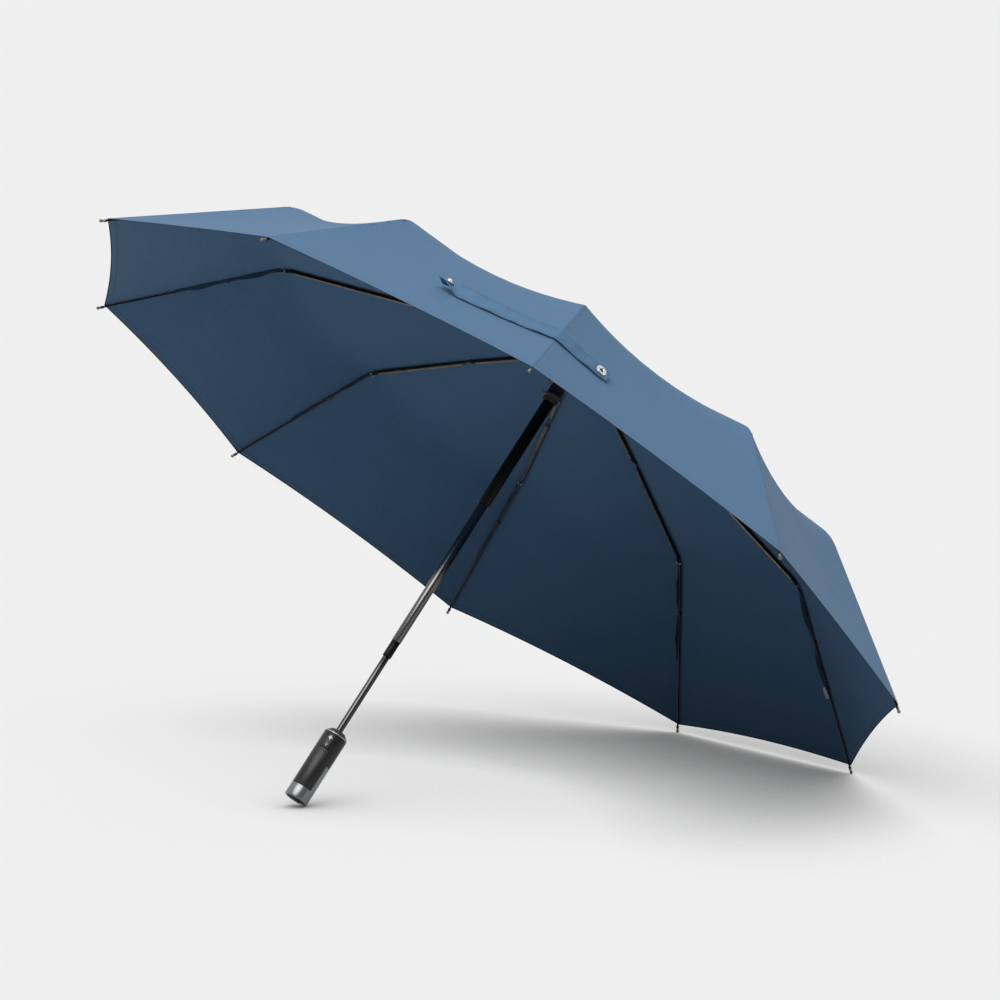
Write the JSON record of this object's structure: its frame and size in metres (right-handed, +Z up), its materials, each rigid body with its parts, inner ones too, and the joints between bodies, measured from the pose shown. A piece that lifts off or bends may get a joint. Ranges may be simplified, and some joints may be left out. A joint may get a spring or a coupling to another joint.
{
  "type": "folding umbrella",
  "caption": "Open automatic folding umbrella lying on its handle and rim, with hinged ribs, a telescopic shaft, a sliding runner, a push button and a closing strap.",
  "frame": {"origin": "middle of the footprint on the floor, under the centre of the box round the open umbrella", "axes": "+Z up; +X along the floor from the handle to the canopy; +Y across the shaft, to the far side of the picture"},
  "size_m": [0.7916, 1.065, 0.645],
  "materials": {
    "fabric_blue": "plain woven water-repellent cloth",
    "black_plastic": "smooth satin black",
    "black_steel": "black coated steel",
    "gunmetal": "dark polished metal",
    "bright_metal": "bright metal",
    "brass": "polished brass"
  },
  "bodies": {
    "handle": {"handle_sleeve": "gunmetal", "handle_grip": "black_plastic", "handle_core": "black_plastic", "handle_collar": "bright_metal", "base_cap": "black_plastic", "button_spring": "bright_metal", "lower_tube": "gunmetal"},
    "push_button": {"push_button": "black_plastic"},
    "middle_shaft": {"middle_tube": "gunmetal", "middle_bush": "black_steel"},
    "upper_shaft": {"upper_tube": "black_steel", "crown": "black_plastic", "crown_wire": "bright_metal", "top_cap": "black_plastic", "canopy": "fabric_blue"},
    "runner": {"runner": "black_plastic", "runner_ring": "brass"},
    "top_rib_01": {"top_rib_01": "black_steel"},
    "stretcher_01": {"stretcher_01": "black_steel"},
    "middle_rib_01": {"middle_rib_01": "black_steel"},
    "outer_rib_01": {"outer_rib_01": "black_steel"},
    "top_rib_02": {"top_rib_02": "black_steel"},
    "stretcher_02": {"stretcher_02": "black_steel"},
    "middle_rib_02": {"middle_rib_02": "black_steel"},
    "outer_rib_02": {"outer_rib_02": "black_steel"},
    "top_rib_03": {"top_rib_03": "black_steel"},
    "stretcher_03": {"stretcher_03": "black_steel"},
    "middle_rib_03": {"middle_rib_03": "black_steel"},
    "outer_rib_03": {"outer_rib_03": "black_steel"},
    "top_rib_04": {"top_rib_04": "black_steel"},
    "stretcher_04": {"stretcher_04": "black_steel"},
    "middle_rib_04": {"middle_rib_04": "black_steel"},
    "outer_rib_04": {"outer_rib_04": "black_steel"},
    "top_rib_05": {"top_rib_05": "black_steel"},
    "stretcher_05": {"stretcher_05": "black_steel"},
    "middle_rib_05": {"middle_rib_05": "black_steel"},
    "outer_rib_05": {"outer_rib_05": "black_steel"},
    "top_rib_06": {"top_rib_06": "black_steel"},
    "stretcher_06": {"stretcher_06": "black_steel"},
    "middle_rib_06": {"middle_rib_06": "black_steel"},
    "outer_rib_06": {"outer_rib_06": "black_steel"},
    "top_rib_07": {"top_rib_07": "black_steel"},
    "stretcher_07": {"stretcher_07": "black_steel"},
    "middle_rib_07": {"middle_rib_07": "black_steel"},
    "outer_rib_07": {"outer_rib_07": "black_steel", "closing_strap": "fabric_blue", "snap_socket": "bright_metal", "snap_stud": "bright_metal"},
    "top_rib_08": {"top_rib_08": "black_steel"},
    "stretcher_08": {"stretcher_08": "black_steel"},
    "middle_rib_08": {"middle_rib_08": "black_steel"},
    "outer_rib_08": {"outer_rib_08": "black_steel"},
    "top_rib_09": {"top_rib_09": "black_steel"},
    "stretcher_09": {"stretcher_09": "black_steel"},
    "middle_rib_09": {"middle_rib_09": "black_steel"},
    "outer_rib_09": {"outer_rib_09": "black_steel"},
    "top_rib_10": {"top_rib_10": "black_steel"},
    "stretcher_10": {"stretcher_10": "black_steel"},
    "middle_rib_10": {"middle_rib_10": "black_steel"},
    "outer_rib_10": {"outer_rib_10": "black_steel"}
  },
  "joints": [
    {"name": "button_press", "type": "slide", "parent": "handle", "child": "push_button", "axis": [0.5892, 0.6561, -0.4716], "range_m": [0, 0.0016], "stiffness_N_per_m": 400, "springref_m": -0.001, "deforming": ["button_spring"]},
    {"name": "middle_slide", "type": "slide", "parent": "handle", "child": "middle_shaft", "axis": [-0.6249, 0, -0.7807], "range_m": [0, 0.098]},
    {"name": "upper_slide", "type": "slide", "parent": "middle_shaft", "child": "upper_shaft", "axis": [-0.6249, 0, -0.7807], "range_m": [0, 0.187]},
    {"name": "fold", "type": "hinge", "parent": "upper_shaft", "child": "top_rib_01", "pos_m": [0.13455, 0.00325, 0.46929], "axis": [-0.2412, 0.9511, 0.1931], "range_deg": [0, 78.6], "deforming": ["canopy", "closing_strap"]},
    {"name": "stretcher_01_turn", "type": "hinge", "parent": "top_rib_01", "child": "stretcher_01", "pos_m": [0.17238, 0.02154, 0.42645], "axis": [-0.2412, 0.9511, 0.1931], "range_deg": [-139.2, 0]},
    {"name": "middle_rib_01_turn", "type": "hinge", "parent": "top_rib_01", "child": "middle_rib_01", "pos_m": [0.25038, 0.05867, 0.341], "axis": [-0.2412, 0.9511, 0.1931], "range_deg": [-180, 0]},
    {"name": "outer_rib_01_turn", "type": "hinge", "parent": "middle_rib_01", "child": "outer_rib_01", "pos_m": [0.3535, 0.1111, 0.21164], "axis": [-0.2412, 0.9511, 0.1931], "range_deg": [0, 151.9]},
    {"name": "top_rib_02_turn", "type": "hinge", "parent": "upper_shaft", "child": "top_rib_02", "pos_m": [0.13157, 0.0085, 0.47167], "axis": [-0.6316, 0.5878, 0.5056], "range_deg": [0, 79.1]},
    {"name": "stretcher_02_turn", "type": "hinge", "parent": "top_rib_02", "child": "stretcher_02", "pos_m": [0.15261, 0.05638, 0.44228], "axis": [-0.6316, 0.5878, 0.5056], "range_deg": [-139.2, 0]},
    {"name": "middle_rib_02_turn", "type": "hinge", "parent": "top_rib_02", "child": "middle_rib_02", "pos_m": [0.19653, 0.15361, 0.3841], "axis": [-0.6316, 0.5878, 0.5056], "range_deg": [-180, 0]},
    {"name": "outer_rib_02_turn", "type": "hinge", "parent": "middle_rib_02", "child": "outer_rib_02", "pos_m": [0.25154, 0.29086, 0.29326], "axis": [-0.6316, 0.5878, 0.5056], "range_deg": [0, 151.9]},
    {"name": "top_rib_03_turn", "type": "hinge", "parent": "upper_shaft", "child": "top_rib_03", "pos_m": [0.12675, 0.0105, 0.47553], "axis": [-0.7807, 0, 0.6249], "range_deg": [0, 79.1]},
    {"name": "stretcher_03_turn", "type": "hinge", "parent": "top_rib_03", "child": "stretcher_03", "pos_m": [0.12063, 0.06969, 0.46788], "axis": [-0.7807, 0, 0.6249], "range_deg": [-139.2, 0]},
    {"name": "middle_rib_03_turn", "type": "hinge", "parent": "top_rib_03", "child": "middle_rib_03", "pos_m": [0.1094, 0.18987, 0.45385], "axis": [-0.7807, 0, 0.6249], "range_deg": [-180, 0]},
    {"name": "outer_rib_03_turn", "type": "hinge", "parent": "middle_rib_03", "child": "outer_rib_03", "pos_m": [0.08657, 0.35952, 0.42532], "axis": [-0.7807, 0, 0.6249], "range_deg": [0, 151.9]},
    {"name": "top_rib_04_turn", "type": "hinge", "parent": "upper_shaft", "child": "top_rib_04", "pos_m": [0.12194, 0.0085, 0.47938], "axis": [-0.6316, -0.5878, 0.5056], "range_deg": [0, 79.1]},
    {"name": "stretcher_04_turn", "type": "hinge", "parent": "top_rib_04", "child": "stretcher_04", "pos_m": [0.08865, 0.05638, 0.49348], "axis": [-0.6316, -0.5878, 0.5056], "range_deg": [-139.2, 0]},
    {"name": "middle_rib_04_turn", "type": "hinge", "parent": "top_rib_04", "child": "middle_rib_04", "pos_m": [0.02227, 0.15361, 0.52359], "axis": [-0.6316, -0.5878, 0.5056], "range_deg": [-180, 0]},
    {"name": "outer_rib_04_turn", "type": "hinge", "parent": "middle_rib_04", "child": "outer_rib_04", "pos_m": [-0.07841, 0.29086, 0.55738], "axis": [-0.6316, -0.5878, 0.5056], "range_deg": [0, 151.9]},
    {"name": "top_rib_05_turn", "type": "hinge", "parent": "upper_shaft", "child": "top_rib_05", "pos_m": [0.11896, 0.00325, 0.48177], "axis": [-0.2412, -0.9511, 0.1931], "range_deg": [0, 79.1]},
    {"name": "stretcher_05_turn", "type": "hinge", "parent": "top_rib_05", "child": "stretcher_05", "pos_m": [0.06888, 0.02154, 0.5093], "axis": [-0.2412, -0.9511, 0.1931], "range_deg": [-139.2, 0]},
    {"name": "middle_rib_05_turn", "type": "hinge", "parent": "top_rib_05", "child": "middle_rib_05", "pos_m": [-0.03158, 0.05867, 0.5667], "axis": [-0.2412, -0.9511, 0.1931], "range_deg": [-180, 0]},
    {"name": "outer_rib_05_turn", "type": "hinge", "parent": "middle_rib_05", "child": "outer_rib_05", "pos_m": [-0.18037, 0.1111, 0.639], "axis": [-0.2412, -0.9511, 0.1931], "range_deg": [0, 151.9]},
    {"name": "top_rib_06_turn", "type": "hinge", "parent": "upper_shaft", "child": "top_rib_06", "pos_m": [0.11896, -0.00325, 0.48177], "axis": [0.2412, -0.9511, -0.1931], "range_deg": [0, 79.1]},
    {"name": "stretcher_06_turn", "type": "hinge", "parent": "top_rib_06", "child": "stretcher_06", "pos_m": [0.06888, -0.02154, 0.5093], "axis": [0.2412, -0.9511, -0.1931], "range_deg": [-139.2, 0]},
    {"name": "middle_rib_06_turn", "type": "hinge", "parent": "top_rib_06", "child": "middle_rib_06", "pos_m": [-0.03158, -0.05867, 0.5667], "axis": [0.2412, -0.9511, -0.1931], "range_deg": [-180, 0]},
    {"name": "outer_rib_06_turn", "type": "hinge", "parent": "middle_rib_06", "child": "outer_rib_06", "pos_m": [-0.18037, -0.1111, 0.639], "axis": [0.2412, -0.9511, -0.1931], "range_deg": [0, 151.9]},
    {"name": "top_rib_07_turn", "type": "hinge", "parent": "upper_shaft", "child": "top_rib_07", "pos_m": [0.12194, -0.0085, 0.47938], "axis": [0.6316, -0.5878, -0.5056], "range_deg": [0, 79.1]},
    {"name": "stretcher_07_turn", "type": "hinge", "parent": "top_rib_07", "child": "stretcher_07", "pos_m": [0.08865, -0.05638, 0.49348], "axis": [0.6316, -0.5878, -0.5056], "range_deg": [-139.2, 0]},
    {"name": "middle_rib_07_turn", "type": "hinge", "parent": "top_rib_07", "child": "middle_rib_07", "pos_m": [0.02227, -0.15361, 0.52359], "axis": [0.6316, -0.5878, -0.5056], "range_deg": [-180, 0]},
    {"name": "outer_rib_07_turn", "type": "hinge", "parent": "middle_rib_07", "child": "outer_rib_07", "pos_m": [-0.07841, -0.29086, 0.55738], "axis": [0.6316, -0.5878, -0.5056], "range_deg": [0, 151.9]},
    {"name": "top_rib_08_turn", "type": "hinge", "parent": "upper_shaft", "child": "top_rib_08", "pos_m": [0.12675, -0.0105, 0.47553], "axis": [0.7807, 0, -0.6249], "range_deg": [0, 79.1]},
    {"name": "stretcher_08_turn", "type": "hinge", "parent": "top_rib_08", "child": "stretcher_08", "pos_m": [0.12063, -0.06969, 0.46788], "axis": [0.7807, 0, -0.6249], "range_deg": [-139.2, 0]},
    {"name": "middle_rib_08_turn", "type": "hinge", "parent": "top_rib_08", "child": "middle_rib_08", "pos_m": [0.1094, -0.18987, 0.45385], "axis": [0.7807, 0, -0.6249], "range_deg": [-180, 0]},
    {"name": "outer_rib_08_turn", "type": "hinge", "parent": "middle_rib_08", "child": "outer_rib_08", "pos_m": [0.08657, -0.35952, 0.42532], "axis": [0.7807, 0, -0.6249], "range_deg": [0, 151.9]},
    {"name": "top_rib_09_turn", "type": "hinge", "parent": "upper_shaft", "child": "top_rib_09", "pos_m": [0.13157, -0.0085, 0.47167], "axis": [0.6316, 0.5878, -0.5056], "range_deg": [0, 79.1]},
    {"name": "stretcher_09_turn", "type": "hinge", "parent": "top_rib_09", "child": "stretcher_09", "pos_m": [0.15261, -0.05638, 0.44228], "axis": [0.6316, 0.5878, -0.5056], "range_deg": [-139.2, 0]},
    {"name": "middle_rib_09_turn", "type": "hinge", "parent": "top_rib_09", "child": "middle_rib_09", "pos_m": [0.19653, -0.15361, 0.3841], "axis": [0.6316, 0.5878, -0.5056], "range_deg": [-180, 0]},
    {"name": "outer_rib_09_turn", "type": "hinge", "parent": "middle_rib_09", "child": "outer_rib_09", "pos_m": [0.25154, -0.29086, 0.29326], "axis": [0.6316, 0.5878, -0.5056], "range_deg": [0, 151.9]},
    {"name": "top_rib_10_turn", "type": "hinge", "parent": "upper_shaft", "child": "top_rib_10", "pos_m": [0.13455, -0.00325, 0.46929], "axis": [0.2412, 0.9511, -0.1931], "range_deg": [0, 79.1]},
    {"name": "stretcher_10_turn", "type": "hinge", "parent": "top_rib_10", "child": "stretcher_10", "pos_m": [0.17238, -0.02154, 0.42645], "axis": [0.2412, 0.9511, -0.1931], "range_deg": [-139.2, 0]},
    {"name": "middle_rib_10_turn", "type": "hinge", "parent": "top_rib_10", "child": "middle_rib_10", "pos_m": [0.25038, -0.05867, 0.341], "axis": [0.2412, 0.9511, -0.1931], "range_deg": [-180, 0]},
    {"name": "outer_rib_10_turn", "type": "hinge", "parent": "middle_rib_10", "child": "outer_rib_10", "pos_m": [0.3535, -0.1111, 0.21164], "axis": [0.2412, 0.9511, -0.1931], "range_deg": [0, 151.9]},
    {"name": "runner_slide", "type": "slide", "parent": "upper_shaft", "child": "runner", "axis": [-0.6249, 0, -0.7807], "range_m": [0, 0.08496]}
  ],
  "couplings": [
    {"joint": "stretcher_01_turn", "follows": "fold", "ratio": -1.7646},
    {"joint": "middle_rib_01_turn", "follows": "fold", "ratio": -2.2837},
    {"joint": "outer_rib_01_turn", "follows": "fold", "ratio": 1.9262},
    {"joint": "top_rib_02_turn", "follows": "fold", "ratio": 1},
    {"joint": "stretcher_02_turn", "follows": "fold", "ratio": -1.7646},
    {"joint": "middle_rib_02_turn", "follows": "fold", "ratio": -2.2837},
    {"joint": "outer_rib_02_turn", "follows": "fold", "ratio": 1.9262},
    {"joint": "top_rib_03_turn", "follows": "fold", "ratio": 1},
    {"joint": "stretcher_03_turn", "follows": "fold", "ratio": -1.7646},
    {"joint": "middle_rib_03_turn", "follows": "fold", "ratio": -2.2837},
    {"joint": "outer_rib_03_turn", "follows": "fold", "ratio": 1.9262},
    {"joint": "top_rib_04_turn", "follows": "fold", "ratio": 1},
    {"joint": "stretcher_04_turn", "follows": "fold", "ratio": -1.7646},
    {"joint": "middle_rib_04_turn", "follows": "fold", "ratio": -2.2837},
    {"joint": "outer_rib_04_turn", "follows": "fold", "ratio": 1.9262},
    {"joint": "top_rib_05_turn", "follows": "fold", "ratio": 1},
    {"joint": "stretcher_05_turn", "follows": "fold", "ratio": -1.7646},
    {"joint": "middle_rib_05_turn", "follows": "fold", "ratio": -2.2837},
    {"joint": "outer_rib_05_turn", "follows": "fold", "ratio": 1.9262},
    {"joint": "top_rib_06_turn", "follows": "fold", "ratio": 1},
    {"joint": "stretcher_06_turn", "follows": "fold", "ratio": -1.7646},
    {"joint": "middle_rib_06_turn", "follows": "fold", "ratio": -2.2837},
    {"joint": "outer_rib_06_turn", "follows": "fold", "ratio": 1.9262},
    {"joint": "top_rib_07_turn", "follows": "fold", "ratio": 1},
    {"joint": "stretcher_07_turn", "follows": "fold", "ratio": -1.7646},
    {"joint": "middle_rib_07_turn", "follows": "fold", "ratio": -2.2837},
    {"joint": "outer_rib_07_turn", "follows": "fold", "ratio": 1.9262},
    {"joint": "top_rib_08_turn", "follows": "fold", "ratio": 1},
    {"joint": "stretcher_08_turn", "follows": "fold", "ratio": -1.7646},
    {"joint": "middle_rib_08_turn", "follows": "fold", "ratio": -2.2837},
    {"joint": "outer_rib_08_turn", "follows": "fold", "ratio": 1.9262},
    {"joint": "top_rib_09_turn", "follows": "fold", "ratio": 1},
    {"joint": "stretcher_09_turn", "follows": "fold", "ratio": -1.7646},
    {"joint": "middle_rib_09_turn", "follows": "fold", "ratio": -2.2837},
    {"joint": "outer_rib_09_turn", "follows": "fold", "ratio": 1.9262},
    {"joint": "top_rib_10_turn", "follows": "fold", "ratio": 1},
    {"joint": "stretcher_10_turn", "follows": "fold", "ratio": -1.7646},
    {"joint": "middle_rib_10_turn", "follows": "fold", "ratio": -2.2837},
    {"joint": "outer_rib_10_turn", "follows": "fold", "ratio": 1.9262},
    {"joint": "runner_slide", "follows": "fold", "m_per_rad": 0.06157}
  ]
}
